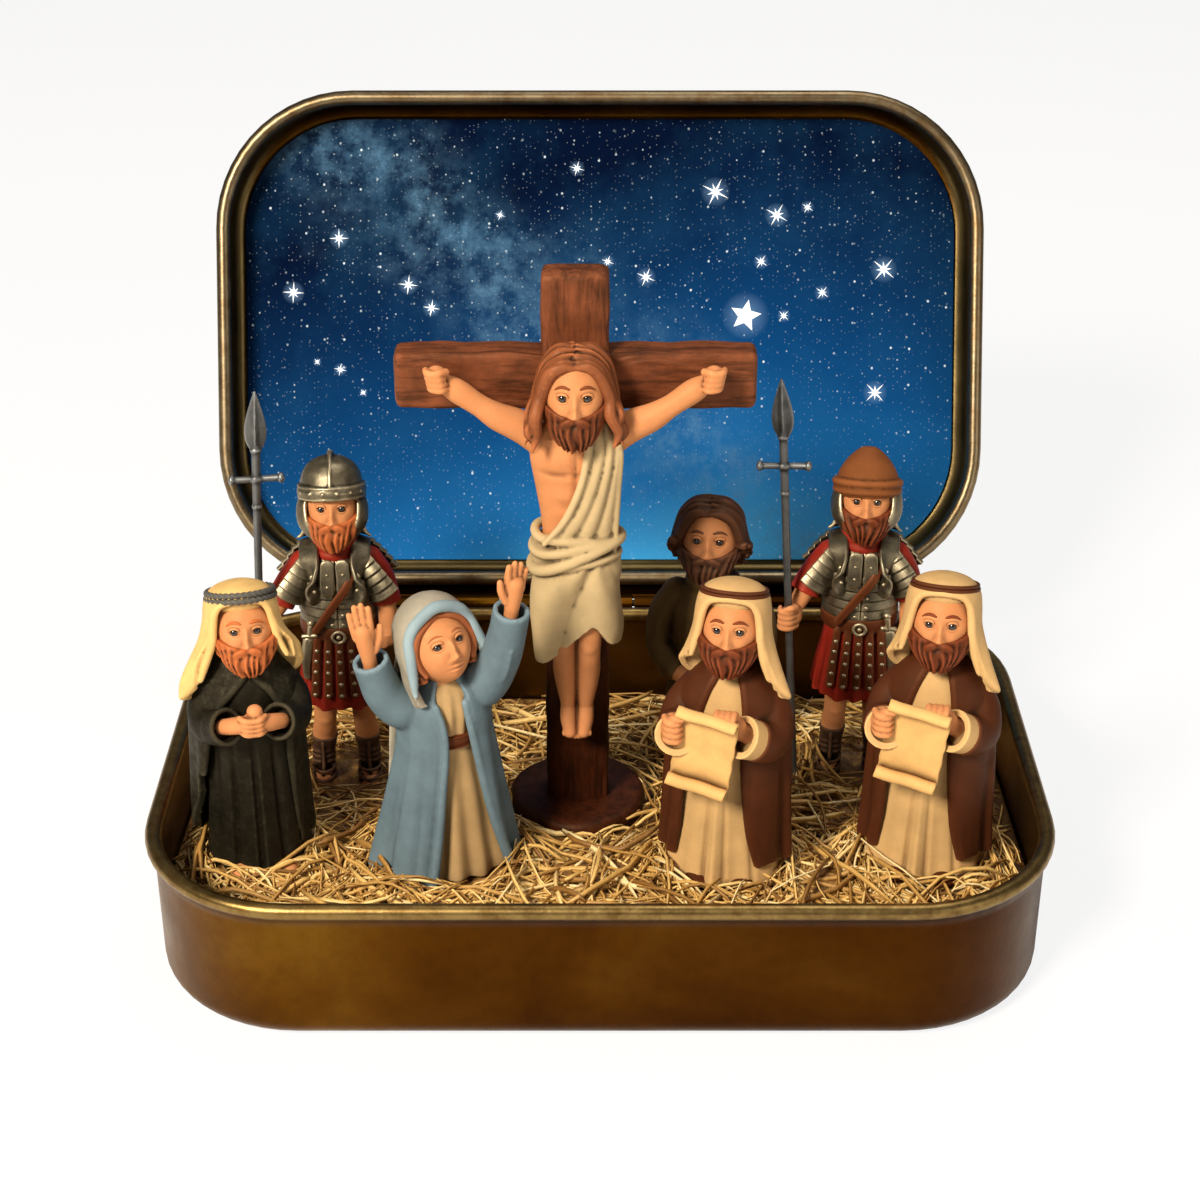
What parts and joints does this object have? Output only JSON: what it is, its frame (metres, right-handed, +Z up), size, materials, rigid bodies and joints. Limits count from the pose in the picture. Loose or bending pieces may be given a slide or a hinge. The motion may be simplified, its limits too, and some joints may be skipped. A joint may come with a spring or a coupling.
{
  "type": "pocket nativity tin",
  "caption": "Hinged metal tin that opens as a small stage: clay figures round a cross stand on straw in the base, before a starry night card in the lid.",
  "frame": {"origin": "middle of the flat underside of the tin's base", "axes": "+Z up, +X to the right as the scene is looked at, -Y is the front, the lid's hinge is at +Y"},
  "size_m": [0.1, 0.0995, 0.0766],
  "materials": {
    "aged brass": "aged satin",
    "dark steel": "dark satin",
    "printed card": "printed satin",
    "straw": "dry fibres",
    "wood brown clay": "painted wood grain",
    "skin clay": "painted matt",
    "brown hair clay": "painted matt",
    "cream clay": "painted matt",
    "sand clay": "painted matt",
    "blue clay": "painted matt",
    "charcoal clay": "painted satin",
    "rust brown clay": "painted matt",
    "olive brown clay": "painted matt",
    "red clay": "painted matt",
    "leather clay": "painted satin",
    "pewter": "metallic paint",
    "parchment": "painted matt"
  },
  "bodies": {
    "base": {"base_tin": "aged brass", "straw_bed": "straw", "base_hinge_leaf": "aged brass", "hinge_pin": "dark steel"},
    "lid": {"lid_tin": "aged brass", "lid_hinge_leaf": "aged brass", "sky_card": "printed card"},
    "crucifix": {"cross_plinth": "wood brown clay", "cross_upright": "wood brown clay", "cross_beam": "wood brown clay", "corpus_body": "skin clay", "corpus_head": "skin clay", "corpus_hair": "brown hair clay", "corpus_drape": "cream clay"},
    "mary": {"mary_dress": "sand clay", "mary_belt": "leather clay", "mary_mantle": "blue clay", "mary_head": "skin clay", "mary_hair": "brown hair clay", "mary_veil": "cream clay", "mary_right_hand": "skin clay", "mary_left_hand": "skin clay"},
    "elder": {"elder_robe": "charcoal clay", "elder_cape": "charcoal clay", "elder_head": "skin clay", "elder_headscarf": "cream clay", "elder_head_cord": "charcoal clay", "elder_hands": "skin clay"},
    "scribe": {"scribe_gown": "sand clay", "scribe_cloak": "rust brown clay", "scribe_head": "skin clay", "scribe_headscarf": "cream clay", "scribe_hands": "skin clay", "scribe_scroll": "parchment"},
    "reader": {"reader_gown": "sand clay", "reader_cloak": "rust brown clay", "reader_head": "skin clay", "reader_headscarf": "cream clay", "reader_hands": "skin clay", "reader_scroll": "parchment"},
    "onlooker": {"onlooker_robe": "olive brown clay", "onlooker_head": "skin clay", "onlooker_hair": "brown hair clay"},
    "sentry": {"sentry_legs": "skin clay", "sentry_kilt": "red clay", "sentry_body": "skin clay", "sentry_cuirass": "pewter", "sentry_belt": "leather clay", "sentry_head": "skin clay", "sentry_helmet": "pewter", "sentry_spear": "dark steel"},
    "guard": {"guard_legs": "skin clay", "guard_kilt": "red clay", "guard_body": "skin clay", "guard_cuirass": "pewter", "guard_belt": "leather clay", "guard_head": "skin clay", "guard_helmet": "rust brown clay", "guard_spear": "dark steel"}
  },
  "joints": [
    {"name": "lid_hinge", "type": "hinge", "parent": "base", "child": "lid", "pos_m": [0, 0.0337, 0.0176], "axis": [1, 0, 0], "range_deg": [0, 30]},
    {"name": "crucifix_lift", "type": "slide", "parent": "base", "child": "crucifix", "axis": [0, 0, 1], "range_m": [0, 0.03]},
    {"name": "mary_lift", "type": "slide", "parent": "base", "child": "mary", "axis": [0, 0, 1], "range_m": [0, 0.03]},
    {"name": "elder_lift", "type": "slide", "parent": "base", "child": "elder", "axis": [0, 0, 1], "range_m": [0, 0.03]},
    {"name": "scribe_lift", "type": "slide", "parent": "base", "child": "scribe", "axis": [0, 0, 1], "range_m": [0, 0.03]},
    {"name": "reader_lift", "type": "slide", "parent": "base", "child": "reader", "axis": [0, 0, 1], "range_m": [0, 0.03]},
    {"name": "onlooker_lift", "type": "slide", "parent": "base", "child": "onlooker", "axis": [0, 0, 1], "range_m": [0, 0.03]},
    {"name": "sentry_lift", "type": "slide", "parent": "base", "child": "sentry", "axis": [0, 0, 1], "range_m": [0, 0.03]},
    {"name": "guard_lift", "type": "slide", "parent": "base", "child": "guard", "axis": [0, 0, 1], "range_m": [0, 0.03]}
  ]
}
